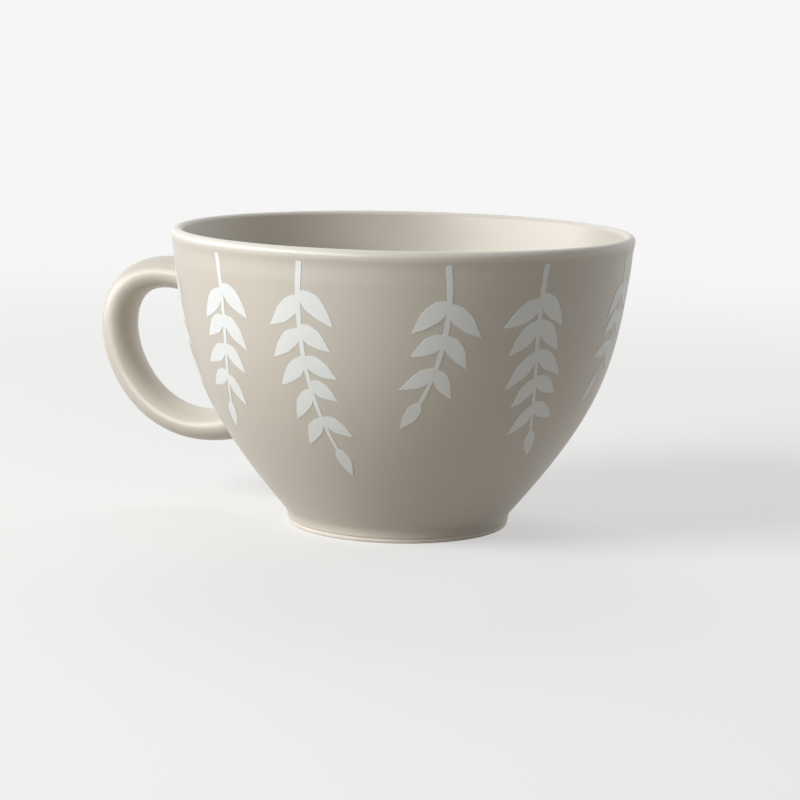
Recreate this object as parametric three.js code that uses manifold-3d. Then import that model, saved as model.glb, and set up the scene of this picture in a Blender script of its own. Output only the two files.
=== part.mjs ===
// A wide porcelain mug: a bowl-shaped cup on a low foot ring, an ear-shaped handle stuck on with slip,
// a satin glaze inside and out, and white transfer prints of hanging leaf sprigs.
// Millimetres and degrees, +Z up. The origin lies on the cup's axis, in the plane that the foot ring
// stands on, and the handle points along -X. A profile is a list of (radius, height) points.
import * as THREE from "three";
import { mergeVertices } from "three/addons/utils/BufferGeometryUtils.js";
import Module from "manifold-3d";

// Cup, finished sizes over the glaze
const HEIGHT = 76;
const RIM_RADIUS = 59.2; // outside of the wall where the lip starts to turn over
const RIM_LEAN = 7; // how far the wall still leans outwards there
const RIM_PULL = 32; // how far down the lip steers the curve of the wall
const LIP_THICKNESS = 2.8;
const LIP_TAPER = 14; // height over which the wall thins out to the lip
const WALL_THICKNESS = 4.2;
const BOWL_ANGLE = 50; // rise of the wall where it leaves the foot ring
const BOWL_PULL = 38.7; // how far up the foot steers the curve of the wall
const FOOT_RADIUS = 28.8;
const FOOT_HEIGHT = 3; // from the standing plane to the corner where the bowl starts
const FOOT_WIDTH = 3.4;
const FOOT_EDGE = 0.6; // bevel on both edges of the standing face
const FOOT_FILLET = 1.4; // length of the round between foot ring and bowl, each way
const BASE_RECESS = 0.9; // from the standing plane up to the finished underside
const BASE_THICKNESS = 5.4; // in the middle, over both glazes
const FLOOR_ROUND = 10; // how far up the wall its inside starts to turn into the floor

// Handle, finished sizes over the glaze
const HANDLE_DROP = 16.3; // from the top of the lip down to where the middle of the loop meets the wall
const HANDLE_BOTTOM = 23.1; // height at which the middle of the loop meets the wall again
const TOP_RISE = 15.3; // above the horizontal, leaving the wall
const TOP_PULL = 43.7; // how far out the upper root steers the loop
const BOTTOM_DROP = 21.4; // below the horizontal, leaving the wall
const BOTTOM_PULL = 42.3; // how far out the lower root steers the loop
const HANDLE_THICKNESS = 8.4; // in the plane of the loop
const HANDLE_WIDTH = 12.9; // across the plane of the loop
const ROOT_FLARE = 0.4; // added all round the section where the loop meets the wall
const FLARE_LENGTH = 14; // along the loop, from the wall to where the flare ends
const ROOT_LENGTH = 2.8; // along the loop, from the wall to where the root's fillet starts
const ROOT_SPREAD = 1.5; // how far the fillet spreads on the wall
const ROOT_DEPTH = 3; // how far a root's shape runs on inside the wall, to be cut off by it

// Layers and the clearance between pieces that touch
const GLAZE = 0.25;
const GLAZE_LINE = 1.2; // height at which the outside glaze is wiped off the foot ring
const SLIP = 0.5; // slip between the end of the handle and the wall
const SLIP_EDGE = 0.12; // thickness of the slip where its fillet runs out
const PRINT = 0.08;
const GAP = 0.02;

// Print: sprigs of paired leaves that hang from a line under the lip, with the handle's side left bare
const SPRIGS = 11;
const SHORT_SPRIG = 29; // stems of the shortest and the longest sprig
const LONG_SPRIG = 46;
const SPRIG_KINDS = 5; // lengths from the shortest to the longest
const KIND_STEPS = 2; // how many kinds the next sprig moves on by
const SPRIG_SWAY = 5; // how far a stem bends to the side
const PRINT_MARGIN = 3.2; // bare band under the lip
const CLEAR_ANGLE = 30; // from the middle of the handle to the nearest sprig
const STEM_WIDTH = 1.5;
const STEM_TIP = 0.8;
const LEAF_LENGTH = 12;
const LEAF_WIDTH = 4.8;
const LEAF_SPACING = 6.8; // from pair to pair, along the stem
const LEAF_ANGLE = 46; // from the stem
const TIP_LEAF_RATIO = 0.68; // size of the leaf at the tip against the first pair

// Fineness of the curved surfaces
const SEGMENTS = 40;
const WALL_STEPS = 9;
const INSIDE_STEPS = 6;
const FLOOR_STEPS = 4;
const ROUND_STEPS = 3;
const SECTION_POINTS = 12;
const STRAP_STEPS = 18;
const LEAF_STEPS = 3;
const STEM_STEPS = 5;
const SEARCH_STEPS = 40;
const MERGE = 1e-4;
const CREST_RATIO = 0.75; // a cubic curve whose two handles stand off by 1 bulges by this much

const wasm = await Module();
wasm.setup();

const radians = THREE.MathUtils.degToRad;
const point = (radius, height) => new THREE.Vector2(radius, height);
const steps = (count) => Array.from({ length: count + 1 }, (_, i) => i / count);

// Solids

// Joins a geometry's vertices, drops the triangles that collapse on the axis and makes it a solid.
function solidFrom(geometry) {
  geometry.deleteAttribute("normal");
  geometry.deleteAttribute("uv");
  const joined = mergeVertices(geometry, MERGE);
  const corners = joined.index.array;
  const kept = [];
  for (let i = 0; i < corners.length; i += 3) {
    const triangle = Array.from(corners.slice(i, i + 3));
    if (new Set(triangle).size === 3) {
      kept.push(...triangle);
    }
  }
  const mesh = new wasm.Mesh({
    numProp: 3,
    vertProperties: joined.attributes.position.array,
    triVerts: new Uint32Array(kept),
  });
  return new wasm.Manifold(mesh);
}

// A named mesh with a material of its own.
function piece(name, solid, finish) {
  const { vertProperties, triVerts } = solid.getMesh();
  const geometry = new THREE.BufferGeometry();
  geometry.setAttribute("position", new THREE.BufferAttribute(vertProperties, 3));
  geometry.setIndex(new THREE.BufferAttribute(triVerts, 1));
  geometry.computeVertexNormals();
  const mesh = new THREE.Mesh(geometry, new THREE.MeshStandardMaterial(finish));
  mesh.name = name;
  return mesh;
}

// Turns a profile round the Z axis. It runs anticlockwise, with the radius to the right.
function revolve(profile) {
  const geometry = new THREE.LatheGeometry(profile, SEGMENTS);
  geometry.rotateX(Math.PI / 2);
  return solidFrom(geometry);
}

// Skins closed rings of points, in order, and closes both ends with a fan.
function skin(rings) {
  const count = rings[0].length;
  const middle = (ring) => ring.reduce((sum, p) => sum.add(p), new THREE.Vector3()).divideScalar(count);
  const points = [...rings.flat(), middle(rings[0]), middle(rings.at(-1))];
  const lastRow = (rings.length - 1) * count;
  const firstMiddle = rings.length * count;
  const lastMiddle = firstMiddle + 1;
  const triangles = [];
  for (let i = 0; i < count; i += 1) {
    const next = (i + 1) % count;
    triangles.push(firstMiddle, next, i);
    triangles.push(lastMiddle, lastRow + i, lastRow + next);
    for (let row = 0; row < lastRow; row += count) {
      triangles.push(row + i, row + next, row + count + next);
      triangles.push(row + i, row + count + next, row + count + i);
    }
  }
  const geometry = new THREE.BufferGeometry().setFromPoints(points);
  geometry.setIndex(triangles);
  return solidFrom(geometry);
}

// Wall of the cup

const rimLean = radians(RIM_LEAN);
const bowlAngle = radians(BOWL_ANGLE);
const lipRadius = LIP_THICKNESS / 2;
const footCorner = point(FOOT_RADIUS, FOOT_HEIGHT);
const rim = point(RIM_RADIUS, HEIGHT - lipRadius * (1 + Math.sin(rimLean)));
const wallCurve = new THREE.CubicBezierCurve(
  footCorner,
  footCorner.clone().add(point(Math.cos(bowlAngle), Math.sin(bowlAngle)).multiplyScalar(BOWL_PULL)),
  rim.clone().sub(point(Math.sin(rimLean), Math.cos(rimLean)).multiplyScalar(RIM_PULL)),
  rim,
);
// Shares of the curve that a length up from the foot takes, near the foot.
const footShare = (length) => length / (3 * BOWL_PULL);

// The point at a share of the wall's curve, `depth` under the finished outside.
function wallPoint(share, depth) {
  const along = wallCurve.getTangent(share);
  return wallCurve.getPoint(share).sub(point(along.y, -along.x).multiplyScalar(depth));
}

// Radius of the wall at a height, `depth` under the finished outside.
function wallRadius(height, depth) {
  let low = 0;
  let high = 1;
  for (let i = 0; i < SEARCH_STEPS; i += 1) {
    const middle = (low + high) / 2;
    if (wallPoint(middle, depth).y < height) {
      low = middle;
    } else {
      high = middle;
    }
  }
  return wallPoint(low, depth).x;
}

// The wall's outside from the end of the foot's fillet up to the lip, `depth` under the finished one.
function outsideWall(depth) {
  const start = footShare(FOOT_FILLET);
  return steps(WALL_STEPS).map((step) => wallPoint(start + (1 - start) * step, depth));
}

// The foot ring's outside from the wiped line of the glaze up into the wall.
function outsideFoot(depth) {
  const corner = point(FOOT_RADIUS - depth, FOOT_HEIGHT + depth * Math.tan((Math.PI / 2 - bowlAngle) / 2));
  const low = point(FOOT_RADIUS - depth, FOOT_HEIGHT - FOOT_FILLET);
  const fillet = new THREE.QuadraticBezierCurve(low, corner, wallPoint(footShare(FOOT_FILLET), depth));
  return [point(FOOT_RADIUS - depth, GLAZE_LINE), ...fillet.getPoints(ROUND_STEPS).slice(0, -1)];
}

// Half of the lip's round, `depth` under the finished one, between two angles.
function lipRound(from, to, depth) {
  const centre = wallPoint(1, lipRadius);
  const reach = lipRadius - depth;
  return steps(ROUND_STEPS).map((step) => {
    const angle = from + (to - from) * step;
    return point(centre.x + reach * Math.cos(angle), centre.y + reach * Math.sin(angle));
  });
}
const outerLip = (depth) => lipRound(-rimLean, Math.PI / 2, depth);
const innerLip = (depth) => lipRound(Math.PI / 2, Math.PI - rimLean, depth);

// Thickness of the finished wall at a share of its curve.
function thickness(share) {
  const toLip = (HEIGHT - wallCurve.getPoint(share).y) / LIP_TAPER;
  return THREE.MathUtils.lerp(LIP_THICKNESS, WALL_THICKNESS, THREE.MathUtils.smoothstep(toLip, 0, 1));
}

// The inside from the lip down to the middle of the floor, `depth` under the finished one.
function insideWall(depth) {
  const end = footShare(FLOOR_ROUND);
  const wall = steps(INSIDE_STEPS).map((step) => {
    const share = 1 - (1 - end) * step;
    return wallPoint(share, thickness(share) - depth);
  });
  const turn = wall.at(-1);
  const along = wallCurve.getTangent(end);
  const floor = BASE_RECESS + BASE_THICKNESS - depth;
  const corner = turn.clone().sub(along.multiplyScalar((turn.y - floor) / along.y));
  const round = new THREE.QuadraticBezierCurve(turn, corner, point(0, floor));
  return [...wall.slice(1), ...round.getPoints(FLOOR_STEPS).slice(1)];
}

// Everything inside the wall's outside, `depth` under the finished one.
function wallBlock(depth) {
  const wall = outsideWall(depth);
  return revolve([point(0, wall[0].y), ...wall, point(0, wall.at(-1).y)]);
}

// Handle

const sideways = new THREE.Vector3(0, 1, 0);
const topRise = radians(TOP_RISE);
const bottomDrop = radians(BOTTOM_DROP);
const handleTop = HEIGHT - HANDLE_DROP;
const topRoot = point(wallRadius(handleTop, 0), handleTop);
const bottomRoot = point(wallRadius(HANDLE_BOTTOM, 0), HANDLE_BOTTOM);
const loop = new THREE.CubicBezierCurve(
  topRoot,
  topRoot.clone().add(point(Math.cos(topRise), Math.sin(topRise)).multiplyScalar(TOP_PULL)),
  bottomRoot.clone().add(point(Math.cos(bottomDrop), -Math.sin(bottomDrop)).multiplyScalar(BOTTOM_PULL)),
  bottomRoot,
);
const loopLength = loop.getLength();
const nearShare = ROOT_LENGTH / loopLength;
const sectionAngles = steps(SECTION_POINTS).slice(0, -1).map((step) => 2 * Math.PI * step);
const inPlane = (flat) => new THREE.Vector3(-flat.x, 0, flat.y);

// The handle's oval section at a share of its length, grown by `grow` all round.
function section(share, grow) {
  const fromWall = Math.min(share, 1 - share) * loopLength;
  const flare = ROOT_FLARE * Math.max(0, 1 - fromWall / FLARE_LENGTH) ** 2;
  const middle = inPlane(loop.getPointAt(share));
  const along = loop.getTangentAt(share);
  const across = inPlane(point(-along.y, along.x));
  return sectionAngles.map((angle) =>
    middle
      .clone()
      .addScaledVector(across, (HANDLE_THICKNESS / 2 + flare + grow) * Math.cos(angle))
      .addScaledVector(sideways, (HANDLE_WIDTH / 2 + flare + grow) * Math.sin(angle)),
  );
}

// Slides a point along an outward direction until it lies on the wall, `depth` under its finished outside.
function slideToWall(start, outward, depth) {
  let inside = -RIM_RADIUS;
  let outside = RIM_RADIUS;
  for (let i = 0; i < SEARCH_STEPS; i += 1) {
    const middle = (inside + outside) / 2;
    const at = start.clone().addScaledVector(outward, middle);
    if (Math.hypot(at.x, at.y) < wallRadius(at.z, depth)) {
      inside = middle;
    } else {
      outside = middle;
    }
  }
  return start.clone().addScaledVector(outward, inside);
}

// The rings of one root, from inside the wall out to where its fillet starts.
// `edge` is the height above the wall at which the fillet runs out.
function rootRings(share, depth, spread, edge) {
  const isUpper = share === 0;
  const outward = inPlane(loop.getTangentAt(share)).multiplyScalar(isUpper ? 1 : -1);
  const start = section(isUpper ? nearShare : 1 - nearShare, -depth);
  const corner = section(share, -depth).map((p) => slideToWall(p, outward, depth - edge));
  const end = section(share, spread - depth).map((p) => slideToWall(p, outward, depth - edge));
  const sunk = end.map((p) => p.clone().addScaledVector(outward, -ROOT_DEPTH));
  const fillets = start.map((p, i) => new THREE.QuadraticBezierCurve3(end[i], corner[i], p));
  const rows = steps(ROUND_STEPS).slice(0, -1).map((step) => fillets.map((fillet) => fillet.getPoint(step)));
  return [sunk, ...rows];
}

// The whole handle, `depth` under its finished surface, with roots that spread on the wall.
function handleShape(depth, spread, edge) {
  const strap = steps(STRAP_STEPS).map((step) => section(nearShare + (1 - 2 * nearShare) * step, -depth));
  return skin([
    ...rootRings(0, depth, spread, edge),
    ...strap,
    ...rootRings(1, depth, spread, edge).reverse(),
  ]);
}
const plainHandle = (depth) => handleShape(depth, 0, 0);
const filletedHandle = (depth, edge) => handleShape(depth, ROOT_SPREAD, edge);

// Print

// A stem that narrows along a curve.
function stemShape(curve) {
  const sides = [1, -1].map((side) =>
    steps(STEM_STEPS).map((step) => {
      const along = curve.getTangent(step);
      const half = THREE.MathUtils.lerp(STEM_WIDTH, STEM_TIP, step) / 2;
      return curve.getPoint(step).add(point(-along.y, along.x).multiplyScalar(side * half));
    }),
  );
  return new THREE.Shape([...sides[0], ...sides[1].reverse()]);
}

// A plain pointed leaf that grows out of the stem at `base` along `heading`, an angle from the local X axis.
function leafShape(base, heading, size) {
  const length = LEAF_LENGTH * size;
  const bulge = (LEAF_WIDTH * size) / 2 / CREST_RATIO;
  const sunk = STEM_TIP / 2;
  const origin = point(0, 0);
  const at = (along, aside) => point(along - sunk, aside).rotateAround(origin, heading).add(base).toArray();
  const shape = new THREE.Shape();
  shape.moveTo(...at(0, 0));
  shape.bezierCurveTo(...at(length / 3, bulge), ...at((2 * length) / 3, bulge), ...at(length, 0));
  shape.bezierCurveTo(...at((2 * length) / 3, -bulge), ...at(length / 3, -bulge), ...at(0, 0));
  return shape;
}

// The outlines of one hanging sprig, across and up, in the plane that faces the cup's axis.
function sprigShapes(length, sway) {
  const top = HEIGHT - PRINT_MARGIN;
  const stem = new THREE.QuadraticBezierCurve(
    point(-sway / 2, top),
    point(-sway, top - length / 2),
    point(sway / 2, top - length),
  );
  const pairs = Math.floor(length / LEAF_SPACING);
  const shapes = [stemShape(stem)];
  for (let i = 1; i <= pairs; i += 1) {
    const share = i / pairs;
    const along = stem.getTangent(share);
    const size = THREE.MathUtils.lerp(1, TIP_LEAF_RATIO, share);
    const turns = i === pairs ? [0] : [radians(LEAF_ANGLE), -radians(LEAF_ANGLE)];
    for (const turn of turns) {
      shapes.push(leafShape(stem.getPoint(share), Math.atan2(along.y, along.x) + turn, size));
    }
  }
  return shapes;
}

// One sprig of the print, cut out of a thin coat that lies on the outside glaze.
function sprig(coat, index) {
  const kind = ((index * KIND_STEPS) % SPRIG_KINDS) / (SPRIG_KINDS - 1);
  const sway = index % 2 === 0 ? SPRIG_SWAY : -SPRIG_SWAY;
  const shapes = sprigShapes(THREE.MathUtils.lerp(SHORT_SPRIG, LONG_SPRIG, kind), sway);
  const azimuth = radians(180 + CLEAR_ANGLE + (index * (360 - 2 * CLEAR_ANGLE)) / (SPRIGS - 1));
  const outward = new THREE.Vector3(Math.cos(azimuth), Math.sin(azimuth), 0);
  const aside = new THREE.Vector3(-Math.sin(azimuth), Math.cos(azimuth), 0);
  const facing = new THREE.Matrix4().makeBasis(aside, new THREE.Vector3(0, 0, 1), outward);
  const prisms = shapes.map((shape) => {
    const options = { depth: RIM_RADIUS + LIP_THICKNESS, bevelEnabled: false, curveSegments: LEAF_STEPS };
    return solidFrom(new THREE.ExtrudeGeometry(shape, options).applyMatrix4(facing));
  });
  return prisms.reduce((joined, prism) => joined.add(prism)).intersect(coat);
}

// Pieces

const footOuter = FOOT_RADIUS - GLAZE;
const footInner = FOOT_RADIUS - FOOT_WIDTH;
const bareUnderside = BASE_RECESS + GLAZE;

const cupBody = revolve([
  point(0, bareUnderside),
  point(footInner, bareUnderside),
  point(footInner, FOOT_EDGE),
  point(footInner + FOOT_EDGE, 0),
  point(footOuter - FOOT_EDGE, 0),
  point(footOuter, FOOT_EDGE),
  ...outsideFoot(GLAZE),
  ...outsideWall(GLAZE),
  ...outerLip(GLAZE).slice(1),
  ...innerLip(GLAZE).slice(1),
  ...insideWall(GLAZE),
]);

const outsideFaces = (depth) => [...outsideFoot(depth), ...outsideWall(depth), ...outerLip(depth).slice(1)];
const insideFaces = (depth) => [...innerLip(depth), ...insideWall(depth)];
const closed = (profile) => [...profile, profile[0]];

const outsideGlaze = revolve(closed([...outsideFaces(0), ...outsideFaces(GLAZE).reverse()])).subtract(
  filletedHandle(-GAP, 0),
);
const insideGlaze = revolve([...insideFaces(GLAZE).reverse(), ...insideFaces(0)]);
const undersideGlaze = revolve([
  point(0, BASE_RECESS),
  point(footInner - GAP, BASE_RECESS),
  point(footInner - GAP, bareUnderside),
  point(0, bareUnderside),
]);

const handle = plainHandle(GLAZE).subtract(wallBlock(GLAZE - SLIP));
const roomForHandle = plainHandle(GLAZE - GAP).subtract(wallBlock(GLAZE - SLIP + GAP));
const bareHandle = filletedHandle(GLAZE, SLIP_EDGE);
const joints = bareHandle.subtract(roomForHandle).subtract(wallBlock(GLAZE - GAP));
const [lowerJoint, upperJoint] = joints
  .decompose()
  .sort((a, b) => b.volume() - a.volume())
  .slice(0, 2)
  .sort((a, b) => a.boundingBox().min[2] - b.boundingBox().min[2]);
const handleGlaze = filletedHandle(0, 0).subtract(bareHandle).subtract(wallBlock(GLAZE - GAP));

const printCoat = revolve(closed([...outsideWall(-GAP - PRINT), ...outsideWall(-GAP).reverse()]));

const PORCELAIN = { color: 0xf0ece4, roughness: 0.75, metalness: 0 };
const SLIP_CLAY = { color: 0xe9e3d8, roughness: 0.8, metalness: 0 };
const SATIN_GLAZE = { color: 0xc9c2b6, roughness: 0.4, metalness: 0 };
const WHITE_PRINT = { color: 0xf7f5f1, roughness: 0.45, metalness: 0 };

const mug = new THREE.Group();
mug.add(
  piece("cup_body", cupBody, PORCELAIN),
  piece("handle", handle, PORCELAIN),
  piece("upper_handle_joint", upperJoint, SLIP_CLAY),
  piece("lower_handle_joint", lowerJoint, SLIP_CLAY),
  piece("inside_glaze", insideGlaze, SATIN_GLAZE),
  piece("outside_glaze", outsideGlaze, SATIN_GLAZE),
  piece("handle_glaze", handleGlaze, SATIN_GLAZE),
  piece("underside_glaze", undersideGlaze, SATIN_GLAZE),
);
for (let i = 0; i < SPRIGS; i += 1) {
  mug.add(piece(`print_sprig_${i + 1}`, sprig(printCoat, i), WHITE_PRINT));
}

export default mug;
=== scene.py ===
"""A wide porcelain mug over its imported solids: bare porcelain, slip, satin glaze and white transfers.

Sizes are in millimetres and degrees until a mesh is made, which is in metres. +Z is up along the cup's axis,
the foot ring stands on z = 0 and the handle points along -X. A profile is an array of (radius, height) rows.
"""

import logging
import math
from collections.abc import Mapping, Sequence
from dataclasses import dataclass
from enum import Enum

import bpy
import numpy as np
from bpy.types import Material, Node, NodeSocket, NodeTree, Object
from mathutils import Matrix, Vector
from numpy.random import Generator, default_rng
from numpy.typing import NDArray


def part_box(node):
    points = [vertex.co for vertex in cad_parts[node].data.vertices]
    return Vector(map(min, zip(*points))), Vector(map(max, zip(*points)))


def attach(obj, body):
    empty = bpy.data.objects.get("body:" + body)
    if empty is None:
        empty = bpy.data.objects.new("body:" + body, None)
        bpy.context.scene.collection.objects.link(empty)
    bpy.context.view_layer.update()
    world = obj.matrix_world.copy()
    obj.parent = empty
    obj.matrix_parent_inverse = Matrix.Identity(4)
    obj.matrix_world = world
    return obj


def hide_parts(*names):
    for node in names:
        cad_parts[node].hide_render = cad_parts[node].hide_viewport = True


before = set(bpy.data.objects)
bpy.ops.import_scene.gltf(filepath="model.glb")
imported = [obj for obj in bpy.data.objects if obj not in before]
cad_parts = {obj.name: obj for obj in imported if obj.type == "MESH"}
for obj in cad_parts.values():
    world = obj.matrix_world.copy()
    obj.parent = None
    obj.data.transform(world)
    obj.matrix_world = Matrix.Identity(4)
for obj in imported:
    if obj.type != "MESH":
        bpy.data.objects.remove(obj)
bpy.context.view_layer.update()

Array = NDArray[np.float64]
MM = 0.001  # metres in a millimetre
BODY = "root"
CREASE = 40.0  # edges that turn by more than this stay sharp
THIN_AND_HIGHLIGHT = "thin_and_highlight"  # attribute that says how thin a coat of glaze lies, and so where the lip takes its painted highlight
# A Mix node repeats its sockets' names for each kind of value, so those for colours go by number.
MIX_SHARE, MIX_FIRST, MIX_SECOND, MIX_RESULT = 0, 6, 7, 2

log = logging.getLogger("mug")


class Slot(Enum):
    """The record's material slots."""

    PORCELAIN = "porcelain"
    SLIP = "slip"
    GLAZE = "satin_glaze"
    PRINT = "white_print"


class Root(Enum):
    """The two ends of the handle, as shares of its length."""

    UPPER = 0.0
    LOWER = 1.0


class LampKind(Enum):
    """What a lamp does, with its shape: it lights surfaces, or is a window that only their gloss shows."""

    LIGHT = "ELLIPSE"
    WINDOW = "RECTANGLE"


def linear(colour: str) -> tuple[float, float, float, float]:
    """Turns an sRGB colour into linear light, by the standard's straight foot and power curve.

    Args:
        colour: Hex value such as "#C8C1B5".

    Returns:
        Red, green, blue and a full alpha.
    """
    shares = [int(colour[i : i + 2], 16) / 255 for i in (1, 3, 5)]
    red, green, blue = (s / 12.92 if s <= 0.04045 else ((s + 0.055) / 1.055) ** 2.4 for s in shares)
    return red, green, blue, 1.0


def per_metre(size: float) -> float:
    """Scale of a pattern on metre coordinates whose features measure `size` millimetres."""
    return 1 / (size * MM)


def add_node(
    tree: NodeTree,
    kind: str,
    sockets: Mapping[str | int, object] | None = None,
    **settings: object,
) -> Node:
    """Adds one node with its settings and links.

    Args:
        tree: Node tree that takes the node.
        kind: Blender's name of the node's type.
        sockets: For each input, by name or number, a constant or the output that feeds it.
        settings: Properties of the node.

    Returns:
        The new node.
    """
    node = tree.nodes.new(kind)
    for name, value in settings.items():
        setattr(node, name, value)
    for key, value in (sockets or {}).items():
        if isinstance(value, NodeSocket):
            tree.links.new(value, node.inputs[key])
        else:
            node.inputs[key].default_value = value
    return node


def new_material(name: str) -> tuple[Material, NodeTree]:
    """Makes an empty node material.

    Args:
        name: What the real material is and how its surface was made.

    Returns:
        The material and its node tree.
    """
    material = bpy.data.materials.new(name)
    material.use_nodes = True
    material.node_tree.nodes.clear()
    return material, material.node_tree


def bezier(corners: Sequence[Array] | Array, share: Array) -> tuple[Array, Array]:
    """Follows a Bezier curve by halving its corners over and over: each step blends neighbours by `share`.

    Args:
        corners: Control points, from the curve's start to its end.
        share: Places on the curve from 0 to 1, in a shape that fits the corners without their last axis.

    Returns:
        The points and the unit tangents.
    """
    blend = np.asarray(share)[..., None]
    rows = list(corners)
    while len(rows) > 2:
        rows = [a + (b - a) * blend for a, b in zip(rows, rows[1:])]
    along = rows[1] - rows[0]
    return rows[0] + along * blend, along / np.linalg.norm(along, axis=-1, keepdims=True)


def smooth_step(value: Array) -> Array:
    """Eases from 0 to 1 as `value` goes from 0 to 1: 3v² - 2v³."""
    clipped = np.clip(value, 0, 1)
    return clipped**2 * (3 - 2 * clipped)


@dataclass
class Surface:
    """A closed surface: points in millimetres and the corner numbers of each face."""

    points: Array
    faces: list[list[int]]

    @classmethod
    def skin(cls, rings: Array, ends: Sequence[Array] | None = None) -> "Surface":
        """Joins rings of points into a closed surface.

        Neighbours on the grid make a quad, columns wrap round, and the rows either end in two poles or wrap
        round as well. Faces point out where the columns run anticlockwise, seen against the rows.

        Args:
            rings: Grid of points, rows by columns by three.
            ends: Poles before the first row and after the last one, or nothing for rows that wrap round.

        Returns:
            The surface.
        """
        rows, columns = rings.shape[:2]
        number = np.arange(rows * columns).reshape(rows, columns)
        if ends is None:
            number = np.vstack([number, number[:1]])
        after = np.roll(number, -1, axis=1)
        faces = np.stack([number[:-1], after[:-1], after[1:], number[1:]], axis=-1).reshape(-1, 4).tolist()
        points = rings.reshape(-1, 3)
        if ends is not None:
            first = np.full(columns, rows * columns)
            faces += np.stack([first, after[0], number[0]], axis=-1).tolist()
            faces += np.stack([first + 1, number[-1], after[-1]], axis=-1).tolist()
            points = np.vstack([points, *ends])
        return cls(points, faces)

    @classmethod
    def capped(cls, rings: Array) -> "Surface":
        """Joins rings of points, with a pole in the middle of the first ring and of the last one."""
        return cls.skin(rings, (rings[0].mean(axis=0), rings[-1].mean(axis=0)))

    @classmethod
    def turned(cls, profile: Array, segments: int) -> "Surface":
        """Turns a profile round the Z axis: a point (r, z) goes to (r cos a, r sin a, z) for each angle a.

        Args:
            profile: Rows of radius and height, anticlockwise. It starts and ends on the axis, or closes.
            segments: Columns of the surface.

        Returns:
            The surface, with poles where the profile meets the axis.
        """
        angle = np.linspace(0, 2 * math.pi, segments, endpoint=False)
        circle = np.stack([np.cos(angle), np.sin(angle), np.zeros(segments)], axis=-1)
        up = np.array([0.0, 0.0, 1.0])
        rings = profile[:, :1, None] * circle + profile[:, 1:, None] * up
        if profile[0, 0] > 0:
            return cls.skin(rings)
        return cls.skin(rings[1:-1], (rings[0, :1], rings[-1, :1]))

    @classmethod
    def joined(cls, surfaces: Sequence["Surface"]) -> "Surface":
        """Puts several closed surfaces into one, each with its own points.

        Args:
            surfaces: What is put together.

        Returns:
            The surface.
        """
        starts = np.cumsum([0] + [len(s.points) for s in surfaces]).tolist()
        faces = [[c + start for c in face] for s, start in zip(surfaces, starts) for face in s.faces]
        return cls(np.vstack([s.points for s in surfaces]), faces)

    def piece(self, name: str, node: str, slot: Slot, material: Material) -> Object:
        """Makes the surface a piece of the mug that stands for its solid.

        Args:
            name: Name of the new piece.
            node: Solid that it stands for.
            slot: Slot of the record for this finish; not used.
            material: Finish.

        Returns:
            The piece, at the origin.
        """
        mesh = bpy.data.meshes.new(name)
        mesh.from_pydata(self.points * MM, [], self.faces)
        mesh.polygons.foreach_set("use_smooth", np.ones(len(mesh.polygons), dtype=bool))
        mesh.set_sharp_from_angle(angle=math.radians(CREASE))
        mesh.materials.append(material)
        made = bpy.data.objects.new(name, mesh)
        bpy.context.scene.collection.objects.link(made)
        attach(made, BODY)
        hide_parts(node)
        log.info("%s: %d points, %d faces, for %s", name, len(self.points), len(self.faces), node)
        return made


def towards(azimuth: float, elevation: float) -> Vector:
    """Unit vector from the mug in a direction, with azimuth 0 along -Y and 90 along +X."""
    turn, rise = math.radians(azimuth), math.radians(elevation)
    return Vector((math.sin(turn) * math.cos(rise), -math.cos(turn) * math.cos(rise), math.sin(rise)))


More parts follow.
